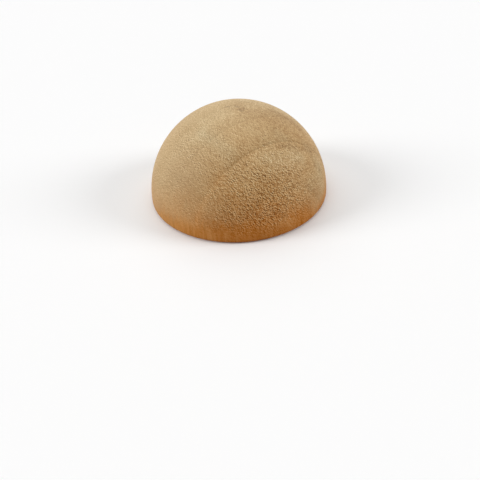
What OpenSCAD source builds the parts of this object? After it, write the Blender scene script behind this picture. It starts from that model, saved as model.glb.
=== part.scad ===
// Wooden half ball: a turned ball cut through its middle, with its flat face sanded true
// and the edge of that face lightly rounded over. It stands on the flat face.
// Millimetres, +Z up, origin at the centre of the flat face.

/* [Half ball] */
// Diameter of the ball, and so the width of the piece, which stands half as high
ball_d = 40; // [10:1:120]
// Radius of the rounding between the dome and the flat face
edge_r = 0.8; // [0.2:0.1:2]

/* [Hidden] */

wood_colour = [0.69, 0.55, 0.38];
facets = 180;
// Step to which the flat face's radius is kept
finest = 0.0001;

ball_r = ball_d / 2;
flat_r = finest * round(sqrt(ball_r * (ball_r - 2 * edge_r)) / finest);
// The rounding's arc is tangent to the flat face and, from inside, to the ball
edge_centre = [flat_r, (pow(ball_r, 2) - pow(flat_r, 2)) / ball_d];
// A point outside the piece, on the line from the ball's centre through the rounding's
edge_line = edge_centre * ball_d / norm(edge_centre);

// Half section of the piece, with the ball's axis along Y. The arcs of the ball and of
// the rounding meet on the line through both centres.
module half_section() {
    // the ball's arc, above that line
    intersection() {
        circle(r = ball_r, $fn = facets);
        polygon([[0, 0], edge_line, [ball_d, ball_d], [0, ball_d]]);
    }
    // the rounding's arc, below the line and outside the flat face
    intersection() {
        translate(edge_centre) circle(r = edge_centre.y, $fn = facets);
        polygon([[0, 0], edge_line, [ball_d, -edge_r], [0, -edge_r]]);
        translate([flat_r, -edge_r]) square(ball_d);
    }
    // the solid wood over the flat face
    square(edge_centre);
}

// The whole piece, turned about the ball's axis
module half_ball() {
    color(wood_colour) rotate_extrude($fn = facets) half_section();
}

half_ball();
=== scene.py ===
"""Wooden half ball: a bare, sanded dome on its flat face, with a plain studio around it."""

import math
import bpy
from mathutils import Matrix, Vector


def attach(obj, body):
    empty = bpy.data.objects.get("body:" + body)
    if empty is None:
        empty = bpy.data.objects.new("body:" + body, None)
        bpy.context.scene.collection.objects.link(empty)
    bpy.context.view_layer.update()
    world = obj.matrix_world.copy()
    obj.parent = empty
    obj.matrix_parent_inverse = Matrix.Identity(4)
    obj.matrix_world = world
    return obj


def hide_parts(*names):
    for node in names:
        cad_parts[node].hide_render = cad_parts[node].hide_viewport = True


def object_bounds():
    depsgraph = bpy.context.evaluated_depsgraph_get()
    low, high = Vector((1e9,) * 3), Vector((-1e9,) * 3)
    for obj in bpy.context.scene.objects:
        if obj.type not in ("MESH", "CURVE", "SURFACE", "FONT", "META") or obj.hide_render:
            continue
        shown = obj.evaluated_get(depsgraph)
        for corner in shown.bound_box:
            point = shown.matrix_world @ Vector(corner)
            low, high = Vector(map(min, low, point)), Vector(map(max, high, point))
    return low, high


bl_info = {
    "name": "Wooden Half Ball",
    "version": (1, 0, 0),
    "blender": (4, 5, 0),
    "location": "3D View > Sidebar > Half Ball",
    "description": "Models a turned wooden half ball and the plain studio that shows it",
    "category": "Add Mesh",
}

import bmesh
import bpy
from mathutils import Matrix, Quaternion, Vector, geometry, noise

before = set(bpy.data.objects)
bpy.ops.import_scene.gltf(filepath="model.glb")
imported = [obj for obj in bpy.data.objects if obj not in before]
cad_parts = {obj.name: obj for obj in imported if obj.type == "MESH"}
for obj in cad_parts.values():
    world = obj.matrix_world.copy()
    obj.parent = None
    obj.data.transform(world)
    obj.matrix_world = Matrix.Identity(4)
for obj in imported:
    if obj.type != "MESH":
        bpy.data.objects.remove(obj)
CAD_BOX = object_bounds()

NODE = "half_ball"
BODY = "root"
MM = 0.001
COARSENESS = "coarseness"
# Where the grain lies more open, and where its stipple of painted shade is strongest: direction from
# the middle of the ball, half width and amount
COARSE_GRAIN_AND_SHADE = (
    ((0.28, -0.90, 0.35), 0.47, 0.95),
    ((-0.45, -0.42, 0.79), 0.28, 0.15),
)
TONE = "mark_tone"
WARMTH = "mark_warmth"
IMAGE_SIZE = 480

# The wood's own axes: along the fibres, and across the growth rings
FIBRE = Vector((0.575, 0.364, -0.733))
RINGS = Vector((0.47, -0.88, -0.07))
# Across the fibres, from one row of open pores to the next, in millimetres
ROW_SPACING = 0.39
# Upper edge of the warm band of painted shade and painted warm reflected light, midway between front
# and back, on the dome and on the flat face, and the least that it comes down to, in millimetres. The
# flat face is lower still, so it has the band's painted tint all over
BAND_TOP = 0.0
FACE_BAND_TOP = -9.0
LEAST_BAND_TOP = 1.0
# How much of the grain shows on the flat face, which is sanded smoother
FACE_GRAIN = 0.3

# Marks on the dome, partly the wood's own streaks and partly painted light and shade: both ends on the
# dome as seen from above and half the width, in millimetres, then how much lighter or darker and how
# much warmer each one is
MARKS = (
    ((0.5, -1.0), (8.0, -3.5), 3.2, -0.11, 0.05),
    ((8.0, 0.0), (13.5, -1.5), 1.2, -0.18, 0.06),
    ((1.2, -1.6), (1.4, -1.0), 0.7, -0.08, 0.04),
    ((-1.6, 0.0), (-1.2, -0.3), 0.22, -0.25, 0.00),
    ((0.2, -0.2), (0.8, -0.7), 0.28, -0.25, 0.00),
    ((1.0, -1.9), (1.5, -2.4), 0.3, -0.25, 0.00),
    ((1.6, -1.3), (2.0, -1.6), 0.25, -0.2, 0.00),
    ((0.0, -2.6), (-8.0, -7.2), 0.8, 0.07, -0.03),
    ((-1.5, -1.0), (-6.0, -3.5), 1.6, 0.04, -0.03),
    ((4.8, -13.5), (4.2, -17.5), 0.9, -0.10, 0.04),
    ((6.2, -15.5), (6.9, -18.2), 1.0, -0.12, 0.05),
    ((5.5, -12.6), (12.5, -9.5), 1.9, 0.10, -0.10),
    ((17.4, -6.5), (15.0, -11.5), 3.4, 0.04, -0.15),
    ((7.0, -18.4), (10.2, -17.0), 1.4, 0.14, -0.08),
    ((2.5, -18.3), (9.0, -16.8), 2.6, 0.05, -0.01),
    ((-10.5, -15.6), (-4.5, -18.4), 1.6, 0.02, -0.03),
    ((-5.5, -16.6), (1.0, -16.6), 2.8, 0.04, -0.02),
    ((-14.8, -12.7), (-9.0, -17.4), 1.6, 0.09, -0.03),
    ((8.5, -9.6), (15.0, -5.8), 0.5, -0.18, 0.03),
    ((-11.7, -16.2), (1.5, -19.9), 2.3, 0.15, -0.02),
    ((17.8, -8.0), (15.8, -12.0), 1.8, 0.03, -0.13),
    ((-4.5, -15.2), (1.9, -18.8), 1.8, -0.03, 0.03),
    ((-6.5, -7.0), (-1.5, -12.0), 1.6, 0.02, -0.08),
    ((8.0, -7.0), (12.5, -9.3), 1.6, -0.01, -0.04),
    ((0.2, -2.4), (1.8, -1.8), 0.9, -0.03, 0.03),
    ((6.3, -14.8), (6.5, -17.5), 1.3, 0.08, -0.02),
    ((-3.2, -14.9), (-8.5, -17.3), 1.0, 0.08, 0.03),
    ((-1.0, -17.0), (6.5, -16.6), 3.0, -0.01, 0.05),
    ((3.6, -12.8), (4.6, -14.4), 1.0, 0.10, -0.03),
    ((-1.5, -15.0), (1.2, -15.9), 1.5, -0.05, 0.01),
    ((3.0, -8.0), (6.0, -9.5), 1.6, 0.05, -0.04),
    ((-12.0, -12.0), (-8.5, -13.5), 2.0, -0.05, 0.00),
    ((11.5, -15.8), (15.4, -11.5), 1.8, -0.09, 0.04),
    ((14.2, -6.0), (16.8, -6.5), 1.6, -0.08, -0.03),
    ((0.0, -17.0), (10.5, -14.8), 1.8, 0.05, -0.03),
)


def wood_axes():
    """Rotation from the piece's axes to the wood's: along the fibres, along the rings, across them."""
    across = RINGS.normalized()
    along = (FIBRE - across * FIBRE.dot(across)).normalized()
    return Matrix((along, across.cross(along), across))


# ---------------------------------------------------------------- settings


class HalfBallShape(bpy.types.PropertyGroup):
    """Sizes of the piece and of the relief in its surface."""

    ball_radius: bpy.props.FloatProperty(
        name="Ball radius",
        description="Radius of the ball that the piece is half of",
        default=CAD_BOX[1].z - 0.01 * MM,
        min=0.005,
        unit="LENGTH",
    )
    edge_radius: bpy.props.FloatProperty(
        name="Edge rounding",
        description="Radius of the rounding between the dome and the flat face",
        default=0.0008,
        min=0.0002,
        unit="LENGTH",
    )
    dome_cuts: bpy.props.IntProperty(
        name="Dome detail",
        description="Edges along a quarter of the dome's rim",
        default=176,
        min=8,
        max=176,
    )
    edge_rings: bpy.props.IntProperty(
        name="Edge detail",
        description="Rings of faces around the rounded edge",
        default=7,
        min=2,
        max=16,
    )


class WoodFinish(bpy.types.PropertyGroup):
    """Colours of the wood and the scale of its figure."""

    pale_wood: bpy.props.FloatVectorProperty(
        name="Pale wood",
        description="Colour of the younger, paler wood",
        default=(0.573, 0.42, 0.228),
        size=3,
        min=0,
        max=1,
        subtype="COLOR",
    )
    deep_wood: bpy.props.FloatVectorProperty(
        name="Deep wood",
        description="Colour of the older, redder wood",
        default=(0.541, 0.327, 0.133),
        size=3,
        min=0,
        max=1,
        subtype="COLOR",
    )
    # Painted shade and painted warm light reflected from below: the amber tint of the dome's foot and
    # of the flat face
    painted_shade_tint: bpy.props.FloatVectorProperty(
        name="Painted shade at foot",
        description="Tint of the lowest part of the dome",
        default=(1.0, 0.84, 0.56),
        size=3,
        min=0,
        max=1,
        subtype="COLOR",
    )
    ring_spacing: bpy.props.FloatProperty(
        name="Ring spacing",
        description="Thickness of one year's growth",
        default=0.0063,
        min=0.001,
        unit="LENGTH",
    )
    first_ring: bpy.props.FloatProperty(
        name="First ring",
        description="Distance of one dark ring from the centre of the flat face",
        default=0.00455,
        unit="LENGTH",
    )
    pore_depth: bpy.props.FloatProperty(
        name="Pore depth",
        description="How deep the open grain lies in the sanded surface",
        default=0.00003,
        min=0,
        max=0.0003,
        unit="LENGTH",
    )


class StudioSettings(bpy.types.PropertyGroup):
    """Where the camera stands and how the piece is lit."""

    camera_distance: bpy.props.FloatProperty(
        name="Camera distance",
        description="From the centre of the flat face to the camera",
        default=0.1003,
        unit="LENGTH",
    )
    camera_elevation: bpy.props.FloatProperty(
        name="Camera elevation",
        description="Angle of the camera above the floor",
        default=math.radians(32.75),
        unit="ROTATION",
    )
    camera_roll: bpy.props.FloatProperty(
        name="Camera roll",
        description="Turn of the camera about its own line of sight",
        default=math.radians(-3.19),
        unit="ROTATION",
    )
    camera_lens: bpy.props.FloatProperty(
        name="Lens", description="Focal length in millimetres", default=32.0
    )
    base_pixel: bpy.props.FloatVectorProperty(
        name="Base in the image",
        description="Pixel at which the centre of the flat face appears, from the top left",
        default=(238.93, 188.8),
        size=2,
    )
    top_light: bpy.props.FloatProperty(
        name="Top light",
        description="Strength of the soft lamp overhead",
        default=1.3,
        min=0,
    )
    left_light: bpy.props.FloatProperty(
        name="Left light",
        description="Strength of the soft lamp on the left",
        default=1.45,
        min=0,
    )
    right_light: bpy.props.FloatProperty(
        name="Right light",
        description="Strength of the soft lamp on the right",
        default=1.25,
        min=0,
    )
    room_light: bpy.props.FloatProperty(
        name="Room light",
        description="Strength of the light from all around",
        default=0.24,
        min=0,
    )
    floor_colour: bpy.props.FloatVectorProperty(
        name="Floor's own colour",
        description="Colour of the light from the floor, which looks white all the same",
        default=(0.46, 0.29, 0.16),
        size=3,
        min=0,
        max=1,
        subtype="COLOR",
    )


# ---------------------------------------------------------------- the piece


def dome_grid(bm, radius, rim_height, cuts):
    """An even grid of faces over the dome, from its pole down to a ring at rim_height."""
    bmesh.ops.create_cube(bm, size=2.0)
    bmesh.ops.subdivide_edges(bm, edges=bm.edges[:], cuts=cuts - 1, use_grid_fill=True)
    below = [f for f in bm.faces if f.calc_center_median().z < 0]
    bmesh.ops.delete(bm, geom=below, context="FACES")
    squeeze = math.acos(rim_height / radius) / (math.pi / 2)
    for vert in bm.verts:
        x, y, z = (v * v for v in vert.co)
        spread = Vector(
            (
                vert.co.x * math.sqrt(1 - y / 2 - z / 2 + y * z / 3),
                vert.co.y * math.sqrt(1 - z / 2 - x / 2 + z * x / 3),
                vert.co.z * math.sqrt(1 - x / 2 - y / 2 + x * y / 3),
            )
        ).normalized()
        polar = math.acos(max(-1.0, min(1.0, spread.z))) * squeeze
        turn = math.atan2(spread.y, spread.x)
        vert.co = radius * Vector(
            (
                math.sin(polar) * math.cos(turn),
                math.sin(polar) * math.sin(turn),
                math.cos(polar),
            )
        )


def round_edge(bm, centre_radius, edge_radius, start, rings):
    """Carries the dome's rim down round the edge, to the flat face."""
    rim = [e for e in bm.edges if e.is_boundary]
    for step in range(1, rings + 1):
        angle = start * (1 - step / rings) - math.pi / 2 * step / rings
        made = bmesh.ops.extrude_edge_only(bm, edges=rim)["geom"]
        rim = [g for g in made if isinstance(g, bmesh.types.BMEdge)]
        reach = centre_radius + edge_radius * math.cos(angle)
        height = edge_radius * (1 + math.sin(angle))
        for vert in {v for e in rim for v in e.verts}:
            side = vert.co.xy.normalized() * reach
            vert.co = Vector((side.x, side.y, height))
    return rim


def ease(value, low, high):
    """0 below low, 1 above high, and a smooth step between them."""
    step = max(0.0, min(1.0, (value - low) / (high - low)))
    return step * step * (3 - 2 * step)


def open_grain(bm, axes, radius, depth):
    """Roughens the dome a little, and keeps how coarse the grain is at each point.

    The grain lies most open at the places in COARSE_GRAIN_AND_SHADE, and closes towards the foot.
    """
    coarseness = bm.verts.layers.float.new(COARSENESS)
    cell = Vector((1.20, 0.40, 0.90))
    for vert in bm.verts:
        wood = axes @ vert.co / MM
        coarse = 0.26
        for place, width, more in COARSE_GRAIN_AND_SHADE:
            coarse += more * math.exp(-(((vert.co / radius - Vector(place)).length / width) ** 2))
        coarse *= 1 + 0.25 * noise.noise(wood / 3.0)
        coarse *= ease(vert.co.z / MM, -1.0, 6.5)
        fine = noise.noise(Vector(w / c for w, c in zip(wood, cell)))
        vert[coarseness] = coarse
        vert.co -= vert.co.normalized() * depth * coarse * (0.5 - 0.5 * fine)


def marks_and_painted_light(bm, radius):
    """Keeps the marks, partly the wood's own streaks and partly painted light and shade, as two
    attributes, how light and how warm each point is.
    """
    tone = bm.verts.layers.float.new(TONE)
    warmth = bm.verts.layers.float.new(WARMTH)
    for start, end, width, lighter, warmer in MARKS:
        ends = []
        for x, y in (start, end):
            across = Vector((x, y)) * MM
            height = math.sqrt(max(0.0, radius**2 - across.length_squared))
            ends.append(Vector((*across, height)))
        for vert in bm.verts:
            near, along = geometry.intersect_point_line(vert.co, *ends)
            near = ends[0].lerp(ends[1], max(0.0, min(1.0, along)))
            fade = math.exp(-(((vert.co - near).length / (width * MM)) ** 2))
            vert[tone] += fade * lighter
            vert[warmth] += fade * warmer


def build_half_ball(shape, finish):
    """The mesh of the whole piece, closed and facing outwards."""
    radius, edge = shape.ball_radius, shape.edge_radius
    centre_radius = math.sqrt((radius - edge) ** 2 - edge**2)
    start = math.asin(edge / (radius - edge))
    bm = bmesh.new()
    dome_grid(bm, radius, radius * math.sin(start), shape.dome_cuts // 2 * 2)
    marks_and_painted_light(bm, radius)
    open_grain(bm, wood_axes(), radius, finish.pore_depth)
    rim = round_edge(bm, centre_radius, edge, start, shape.edge_rings)
    foot = bmesh.ops.contextual_create(bm, geom=rim)["faces"]
    bmesh.ops.remove_doubles(bm, verts=bm.verts, dist=1e-7)
    bmesh.ops.recalc_face_normals(bm, faces=bm.faces)
    for face in bm.faces:
        face.smooth = True
    foot[0].material_index = 1
    mesh = bpy.data.meshes.new("turned_half_ball")
    bm.to_mesh(mesh)
    bm.free()
    return mesh


# ---------------------------------------------------------------- the wood


def add_node(tree, kind, inputs=None, **settings):
    """A shader node with its settings made, and each input either set or linked."""
    node = tree.nodes.new("ShaderNode" + kind)
    for name, value in settings.items():
        setattr(node, name, value)
    for name, value in (inputs or {}).items():
        if isinstance(value, bpy.types.NodeSocket):
            tree.links.new(value, node.inputs[name])
        else:
            node.inputs[name].default_value = value
    return node


def shader_group(name, inputs, outputs):
    """An empty node group with named sockets, with the nodes that hold them inside it."""
    group = bpy.data.node_groups.new(name, "ShaderNodeTree")
    for label, kind, default in inputs:
        socket = group.interface.new_socket(label, in_out="INPUT", socket_type="NodeSocket" + kind)
        if default is not None:
            socket.default_value = default
    for label, kind in outputs:
        group.interface.new_socket(label, in_out="OUTPUT", socket_type="NodeSocket" + kind)
    given = group.nodes.new("NodeGroupInput")
    result = group.nodes.new("NodeGroupOutput")
    return group, given.outputs, result.inputs


def math_node(tree, operation, *values):
    """The output of a Math node."""
    node = add_node(tree, "Math", operation=operation)
    for socket, value in zip(node.inputs, values):
        if isinstance(value, bpy.types.NodeSocket):
            tree.links.new(value, socket)
        else:
            socket.default_value = value
    return node.outputs[0]


def map_range(tree, value, low, high, to_low=0.0, to_high=1.0, smooth=False):
    """A value carried from one range to another, and held within it."""
    node = add_node(
        tree,
        "MapRange",
        {
            "Value": value,
            "From Min": low,
            "From Max": high,
            "To Min": to_low,
            "To Max": to_high,
        },
        interpolation_type="SMOOTHSTEP" if smooth else "LINEAR",
    )
    return node.outputs["Result"]


def noise_value(tree, vector, stretch, detail=2.0):
    """Noise with its cells stretched along each axis to the given lengths."""
    place = add_node(tree, "Mapping", {"Vector": vector, "Scale": [1 / s for s in stretch]})
    spread = {"Vector": place.outputs[0], "Scale": 1.0, "Detail": detail, "Roughness": 0.5}
    cloud = add_node(tree, "TexNoise", spread)
    return cloud.outputs["Fac"]


def growth_rings():
    """Each year's wood darkens little by little, up to the sharp line where the next year starts."""
    group, given, result = shader_group(
        "growth_rings",
        (
            ("Wood", "Vector", None),
            ("Spacing", "Float", 6.3),
            ("First Line", "Float", 4.3),
            ("Waviness", "Float", 0.8),
        ),
        (("Late Wood", "Float"), ("Age", "Float")),
    )
    parts = add_node(group, "SeparateXYZ", {"Vector": given["Wood"]}).outputs
    across, beside = parts["Z"], parts["Y"]
    wander = math_node(group, "SUBTRACT", noise_value(group, given["Wood"], (18, 8, 12)), 0.5)
    wander = math_node(group, "MULTIPLY", wander, given["Waviness"])
    bent = math_node(group, "ADD", across, wander)
    year = math_node(group, "SUBTRACT", bent, given["First Line"])
    year = math_node(group, "DIVIDE", year, given["Spacing"])
    season = math_node(group, "FRACT", year)
    curve = add_node(group, "ValToRGB", {"Fac": season})
    curve.color_ramp.elements[0].color = (0.15, 0.15, 0.15, 1)
    curve.color_ramp.elements[1].color = (0.15, 0.15, 0.15, 1)
    for place, shade in ((0.02, 0.0), (0.4, 0.08), (0.75, 0.25), (0.92, 0.5), (0.975, 1.0)):
        stop = curve.color_ramp.elements.new(place)
        stop.color = (shade, shade, shade, 1)
    patchy = map_range(group, noise_value(group, given["Wood"], (6, 5, 9)), 0.35, 0.65, 0.7, 1.0)
    patchy = math_node(group, "MULTIPLY", patchy, map_range(group, beside, -2.5, 4.0, 0.35, 1.0))
    late = math_node(group, "MULTIPLY", curve.outputs["Color"], patchy)
    age = map_range(group, bent, 0.5, 17.5)
    vigour = map_range(group, age, 0.1, 0.55, 0.25, 1.0)
    settled = map_range(group, age, 0.75, 0.95, 1.0, 0.5)
    vigour = math_node(group, "MULTIPLY", vigour, settled)
    vigour = math_node(group, "MAXIMUM", vigour, map_range(group, bent, -6.5, -12.0, 0.2, 0.7))
    group.links.new(math_node(group, "MULTIPLY", late, vigour), result["Late Wood"])
    group.links.new(age, result["Age"])
    return group


def fibre_figure():
    """Rows of short dashes along the fibres, where the pores lie open, and broader clouds."""
    group, given, result = shader_group(
        "fibre_figure",
        (("Wood", "Vector", None),),
        (("Streaks", "Float"), ("Clouds", "Float")),
    )
    wood = given["Wood"]
    across = add_node(group, "SeparateXYZ", {"Vector": wood}).outputs["Y"]
    sway = math_node(group, "MULTIPLY", noise_value(group, wood, (2.5, 1.2, 1.5), 0.0), 5.0)
    rows = math_node(group, "MULTIPLY_ADD", across, 2 * math.pi / ROW_SPACING, sway)
    dashes = math_node(group, "SUBTRACT", noise_value(group, wood, (0.36, 0.42, 0.34), 0.0), 0.5)
    dashes = math_node(group, "MULTIPLY", dashes, math_node(group, "SINE", rows))
    rough = math_node(group, "SUBTRACT", noise_value(group, wood, (0.5, 0.2, 0.4), 0.0), 0.5)
    rough = math_node(group, "MULTIPLY_ADD", rough, 0.22, 0.5)
    group.links.new(math_node(group, "MULTIPLY_ADD", dashes, 0.95, rough), result["Streaks"])
    group.links.new(noise_value(group, wood, (6.0, 2.6, 3.2)), result["Clouds"])
    return group


def painted_foot_shade():
    """A band of painted shade and painted warm reflected light round the foot of the dome, with a
    fainter painted warmth reaching higher, its edge and its colour drawn out in upright streaks.
    """
    group, given, result = shader_group(
        "painted_foot_shade",
        (("Place", "Vector", None), ("Band Height", "Float", 1.0), ("Lean", "Vector", None)),
        (("Band", "Float"), ("Glow", "Float"), ("Streaks", "Float")),
    )
    height = add_node(group, "SeparateXYZ", {"Vector": given["Place"]}).outputs["Z"]
    lean = add_node(
        group, "VectorMath", {0: given["Place"], 1: given["Lean"]}, operation="DOT_PRODUCT"
    ).outputs["Value"]
    leaning = math_node(group, "ADD", given["Band Height"], lean)
    middle = math_node(group, "MAXIMUM", leaning, LEAST_BAND_TOP)
    streaks = noise_value(group, given["Place"], (0.55, 0.55, 5.0), detail=3.0)
    ragged = map_range(group, streaks, 0.3, 0.7, -0.9, 0.9)
    uneven = map_range(group, noise_value(group, given["Place"], (7, 7, 7)), 0.3, 0.7, -0.8, 0.8)
    top = math_node(group, "ADD", middle, math_node(group, "ADD", ragged, uneven))
    below = math_node(group, "SUBTRACT", top, height)
    group.links.new(map_range(group, below, -1.6, 1.8, smooth=True), result["Band"])
    group.links.new(map_range(group, below, -7.5, 1.0, smooth=True), result["Glow"])
    group.links.new(streaks, result["Streaks"])
    return group


def wood_material(name, groups, finish, band_height, open_pores):
    """Bare sanded wood: rings, fibres and open grain, with the foot's painted shade and painted warm
    reflected light.
    """
    mat = bpy.data.materials.new(name)
    mat.use_nodes = True
    tree = mat.node_tree
    bsdf = tree.nodes["Principled BSDF"]
    bsdf.inputs["Specular IOR Level"].default_value = 0.2
    where = add_node(tree, "TexCoord").outputs["Object"]
    place = add_node(tree, "Mapping", {"Vector": where, "Scale": (1 / MM,) * 3}).outputs[0]
    turn = wood_axes().to_euler()
    wood = add_node(tree, "Mapping", {"Vector": place, "Rotation": turn}).outputs[0]
    rings = add_node(tree, "Group", node_tree=groups["rings"])
    rings.inputs["Spacing"].default_value = finish.ring_spacing / MM
    rings.inputs["First Line"].default_value = finish.first_ring / MM
    fibres = add_node(tree, "Group", node_tree=groups["fibres"])
    rim = add_node(tree, "Group", node_tree=groups["rim"])
    rim.inputs["Band Height"].default_value = band_height
    # The band reaches higher towards the front
    rim.inputs["Lean"].default_value = (0, -0.22, 0)
    for group in (rings, fibres):
        tree.links.new(wood, group.inputs["Wood"])
    tree.links.new(place, rim.inputs["Place"])

    body = add_node(tree, "Mix", data_type="RGBA")
    body.inputs["A"].default_value = (*finish.pale_wood, 1)
    body.inputs["B"].default_value = (*finish.deep_wood, 1)
    tree.links.new(rings.outputs["Age"], body.inputs["Factor"])
    late = add_node(tree, "Mix", data_type="RGBA", blend_type="MULTIPLY")
    late.inputs["B"].default_value = (0.71, 0.675, 0.61, 1)
    tree.links.new(rings.outputs["Late Wood"], late.inputs["Factor"])
    tree.links.new(body.outputs["Result"], late.inputs["A"])
    # Painted warm reflected light, fading up the dome from the foot
    glow = add_node(tree, "Mix", data_type="RGBA", blend_type="MULTIPLY")
    glow.inputs["B"].default_value = (1.0, 0.84, 0.70, 1)
    tree.links.new(rim.outputs["Glow"], glow.inputs["Factor"])
    tree.links.new(late.outputs["Result"], glow.inputs["A"])
    # Painted shade and painted warm reflected light at the foot: the amber band
    warm = add_node(tree, "Mix", data_type="RGBA", blend_type="MULTIPLY")
    warm.inputs["B"].default_value = (*finish.painted_shade_tint, 1)
    tree.links.new(rim.outputs["Band"], warm.inputs["Factor"])
    tree.links.new(glow.outputs["Result"], warm.inputs["A"])

    fine = math_node(tree, "SUBTRACT", fibres.outputs["Streaks"], 0.5)
    cloud = map_range(tree, fibres.outputs["Clouds"], 0.3, 0.7, -0.04, 0.04)
    upright = map_range(tree, rim.outputs["Streaks"], 0.3, 0.7, -0.14, 0.14)
    upright = math_node(tree, "MULTIPLY", upright, rim.outputs["Band"])
    if open_pores:
        coarse = add_node(tree, "Attribute", attribute_name=COARSENESS).outputs["Fac"]
        fine = math_node(tree, "MULTIPLY", fine, coarse)
    else:
        fine = math_node(tree, "MULTIPLY", fine, FACE_GRAIN)
    # The grain's colour stipple: partly the dark colour of the open pores and partly painted shade of
    # the pitted surface, strongest where the grain is coarse
    light = map_range(tree, fine, -0.18, 0.13, -0.75, 0.54)
    light = math_node(tree, "ADD", light, cloud)
    light = math_node(tree, "ADD", light, upright)
    warmer = map_range(tree, light, -0.2, 0.5, 1.12, 0.81)
    if open_pores:
        tone = add_node(tree, "Attribute", attribute_name=TONE).outputs["Fac"]
        warmth = add_node(tree, "Attribute", attribute_name=WARMTH).outputs["Fac"]
        light = math_node(tree, "ADD", light, tone)
        warmer = math_node(tree, "ADD", warmer, warmth)
    tint = add_node(tree, "HueSaturation", {"Color": warm.outputs["Result"]})
    tree.links.new(math_node(tree, "ADD", light, 1.0), tint.inputs["Value"])
    tree.links.new(warmer, tint.inputs["Saturation"])
    hue = math_node(tree, "MULTIPLY_ADD", warmer, -0.08, 0.58)
    tree.links.new(hue, tint.inputs["Hue"])
    tree.links.new(tint.outputs["Color"], bsdf.inputs["Base Color"])

    matt = map_range(tree, fibres.outputs["Streaks"], 0.3, 0.7, 0.66, 0.56)
    tree.links.new(matt, bsdf.inputs["Roughness"])
    bump = add_node(tree, "Bump", {"Strength": 1.0, "Distance": 0.0001})
    tree.links.new(fine, bump.inputs["Height"])
    tree.links.new(bump.outputs["Normal"], bsdf.inputs["Normal"])
    return mat


def wood_materials(finish):
    """The dome's wood and the flat face's, cut from the same block; the painted foot shade tints the
    flat face all over, unevenly.
    """
    groups = {"rings": growth_rings(), "fibres": fibre_figure(), "rim": painted_foot_shade()}
    dome = wood_material("sanded_dome", groups, finish, BAND_TOP, True)
    face = wood_material("sanded_flat_face", groups, finish, FACE_BAND_TOP, False)
    return dome, face


class MESH_OT_wooden_half_ball(bpy.types.Operator):
    """Add the wooden half ball, standing on its flat face"""

    bl_idname = "mesh.wooden_half_ball"
    bl_label = "Wooden Half Ball"
    bl_options = {"REGISTER", "UNDO"}

    def execute(self, context):
        scene = context.scene
        mesh = build_half_ball(scene.half_ball_shape, scene.half_ball_finish)
        for mat in wood_materials(scene.half_ball_finish):
            mesh.materials.append(mat)
        piece = bpy.data.objects.new("turned_half_ball", mesh)
        scene.collection.objects.link(piece)
        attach(piece, BODY)
        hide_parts(NODE)
        return {"FINISHED"}


# ---------------------------------------------------------------- the stage


def add_camera(scene, studio):
    """A camera at the set distance and height, turned so that the base lands on its pixel."""
    data = bpy.data.cameras.new("camera")
    data.lens = studio.camera_lens
    data.sensor_width = 36.0
    data.clip_start = 0.005
    camera = bpy.data.objects.new("camera", data)
    scene.collection.objects.link(camera)
    focal = studio.camera_lens / data.sensor_width * IMAGE_SIZE
    u, v = studio.base_pixel
    seen = Vector((u - IMAGE_SIZE / 2, IMAGE_SIZE / 2 - v, -focal)).normalized()
    tilt = studio.camera_elevation
    back = Vector((0, -math.cos(tilt), math.sin(tilt)))
    aim = (-back).to_track_quat("-Z", "Y") @ Quaternion((0, 0, 1), studio.camera_roll)
    camera.rotation_mode = "QUATERNION"
    camera.rotation_quaternion = aim @ seen.rotation_difference(Vector((0, 0, -1)))
    camera.location = back * studio.camera_distance
    scene.camera = camera


def seen_directly(tree):
    """1 where a ray comes from the camera, a mirror or glass, and 0 where it carries light."""
    path = tree.nodes.new("ShaderNodeLightPath")
    glossy = tree.nodes.new("ShaderNodeMath")
    glossy.operation = "MAXIMUM"
    clear = tree.nodes.new("ShaderNodeMath")
    clear.operation = "MAXIMUM"
    tree.links.new(path.outputs["Is Camera Ray"], glossy.inputs[0])
    tree.links.new(path.outputs["Is Glossy Ray"], glossy.inputs[1])
    tree.links.new(glossy.outputs[0], clear.inputs[0])
    tree.links.new(path.outputs["Is Transmission Ray"], clear.inputs[1])
    return clear.outputs[0]


def add_room(scene, studio):
    """A white surround that lights the piece gently."""
    world = bpy.data.worlds.new("room")
    scene.world = world
    world.use_nodes = True
    tree = world.node_tree
    mix = tree.nodes.new("ShaderNodeMix")
    mix.inputs["A"].default_value = studio.room_light
    mix.inputs["B"].default_value = 1.0
    tree.links.new(seen_directly(tree), mix.inputs["Factor"])
    tree.links.new(mix.outputs["Result"], tree.nodes["Background"].inputs["Strength"])
    tree.nodes["Background"].inputs["Color"].default_value = (1, 1, 1, 1)


def add_lamp(scene, name, strength, width, source):
    """A soft lamp of the given width in degrees, which shines from the given direction."""
    data = bpy.data.lights.new(name, "SUN")
    data.energy = strength
    data.angle = math.radians(width)
    lamp = bpy.data.objects.new(name, data)
    scene.collection.objects.link(lamp)
    lamp.rotation_mode = "QUATERNION"
    lamp.rotation_quaternion = Vector(source).to_track_quat("Z", "Y")
    lamp.location = Vector(source).normalized() * 0.5


def add_floor(scene, colour):
    """A floor that looks white, and throws light of its own colour on what stands on it."""
    bm = bmesh.new()
    bmesh.ops.create_circle(bm, cap_ends=True, segments=64, radius=4.0)
    mesh = bpy.data.meshes.new("floor")
    bm.to_mesh(mesh)
    bm.free()
    mat = bpy.data.materials.new("floor")
    mat.use_nodes = True
    tree = mat.node_tree
    bsdf = tree.nodes["Principled BSDF"]
    bsdf.inputs["Roughness"].default_value = 1.0
    bsdf.inputs["Specular IOR Level"].default_value = 0.0
    mix = tree.nodes.new("ShaderNodeMix")
    mix.data_type = "RGBA"
    mix.inputs["A"].default_value = (*colour, 1)
    mix.inputs["B"].default_value = (0.97, 0.97, 0.97, 1)
    tree.links.new(seen_directly(tree), mix.inputs["Factor"])
    tree.links.new(mix.outputs["Result"], bsdf.inputs["Base Color"])
    mesh.materials.append(mat)
    floor = bpy.data.objects.new("floor", mesh)
    scene.collection.objects.link(floor)


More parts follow.
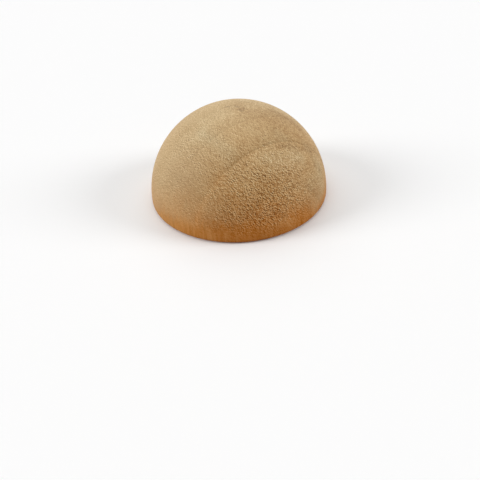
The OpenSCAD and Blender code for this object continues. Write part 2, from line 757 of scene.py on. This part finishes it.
class SCENE_OT_half_ball_studio(bpy.types.Operator):
    """Add the floor, the lamps, the room light and the camera"""

    bl_idname = "scene.half_ball_studio"
    bl_label = "Studio"
    bl_options = {"REGISTER", "UNDO"}

    def execute(self, context):
        studio = context.scene.half_ball_studio
        add_camera(context.scene, studio)
        add_room(context.scene, studio)
        add_lamp(context.scene, "top_light", studio.top_light, 80, (-0.1, 0.4, 1.0))
        add_lamp(context.scene, "left_light", studio.left_light, 26, (-1.0, -0.1, 0.5))
        add_lamp(context.scene, "right_light", studio.right_light, 26, (1.0, -0.1, 0.5))
        add_floor(context.scene, studio.floor_colour)
        context.scene.view_settings.view_transform = "Standard"
        return {"FINISHED"}


class VIEW3D_PT_half_ball(bpy.types.Panel):
    """Buttons and sizes for the half ball and its studio"""

    bl_idname = "VIEW3D_PT_half_ball"
    bl_label = "Wooden Half Ball"
    bl_space_type = "VIEW_3D"
    bl_region_type = "UI"
    bl_category = "Half Ball"

    def draw(self, context):
        scene = context.scene
        steps = (
            (MESH_OT_wooden_half_ball, (scene.half_ball_shape, scene.half_ball_finish)),
            (SCENE_OT_half_ball_studio, (scene.half_ball_studio,)),
        )
        for operator, groups in steps:
            box = self.layout.box()
            box.operator(operator.bl_idname)
            for settings in groups:
                for name in type(settings).__annotations__:
                    box.prop(settings, name)


CLASSES = (
    HalfBallShape,
    WoodFinish,
    StudioSettings,
    MESH_OT_wooden_half_ball,
    SCENE_OT_half_ball_studio,
    VIEW3D_PT_half_ball,
)


def register():
    for cls in CLASSES:
        bpy.utils.register_class(cls)
    bpy.types.Scene.half_ball_shape = bpy.props.PointerProperty(type=HalfBallShape)
    bpy.types.Scene.half_ball_finish = bpy.props.PointerProperty(type=WoodFinish)
    bpy.types.Scene.half_ball_studio = bpy.props.PointerProperty(type=StudioSettings)


def unregister():
    del bpy.types.Scene.half_ball_studio
    del bpy.types.Scene.half_ball_finish
    del bpy.types.Scene.half_ball_shape
    for cls in reversed(CLASSES):
        bpy.utils.unregister_class(cls)


def main():
    register()
    bpy.ops.mesh.wooden_half_ball()
    bpy.ops.scene.half_ball_studio()


if __name__ == "__main__":
    main()
